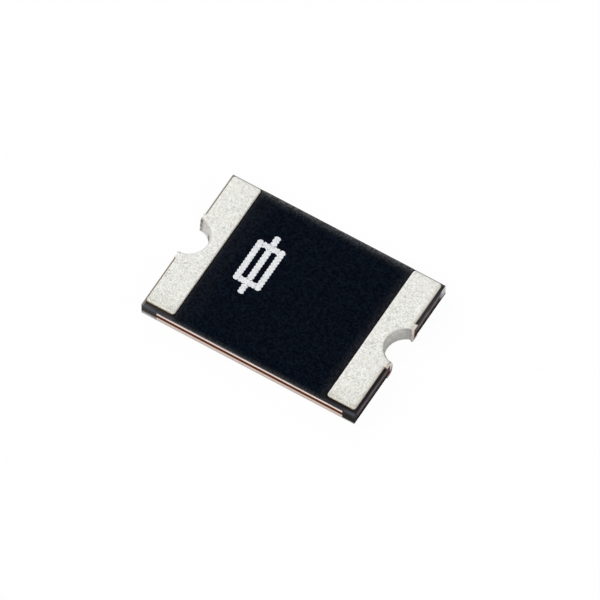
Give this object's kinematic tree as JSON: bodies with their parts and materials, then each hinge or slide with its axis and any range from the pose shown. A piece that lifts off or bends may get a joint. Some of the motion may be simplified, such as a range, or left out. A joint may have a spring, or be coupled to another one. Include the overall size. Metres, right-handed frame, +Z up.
{
  "type": "resettable fuse",
  "caption": "Flat surface-mount resettable fuse chip: polymer sheet between electrode foils in a sawn laminate, with tin-plated end pads and half-round notches.",
  "frame": {"origin": "under the middle of the sawn outline, on the plane of the lower pads' faces", "axes": "+X along the chip's length from the left terminal to the right one, +Y across its width, +Z up through its thickness from the lower pads to the upper ones"},
  "size_m": [0.0046, 0.0032, 0.0004],
  "materials": {
    "ptc_polymer": "matte",
    "copper_foil": "satin",
    "insulating_laminate": "satin",
    "solder_mask": "satin",
    "plated_copper": "satin",
    "plated_tin": "matte",
    "marking_ink": "matte"
  },
  "bodies": {
    "root": {"ptc_polymer_sheet": "ptc_polymer", "upper_electrode_foil": "copper_foil", "lower_electrode_foil": "copper_foil", "upper_insulating_layer": "insulating_laminate", "lower_insulating_layer": "insulating_laminate", "upper_solder_mask": "solder_mask", "lower_solder_mask": "solder_mask", "left_upper_pad_foil": "copper_foil", "left_lower_pad_foil": "copper_foil", "right_upper_pad_foil": "copper_foil", "right_lower_pad_foil": "copper_foil", "left_copper_plating": "plated_copper", "right_copper_plating": "plated_copper", "left_tin_plating": "plated_tin", "right_tin_plating": "plated_tin"}
  },
  "joints": []
}
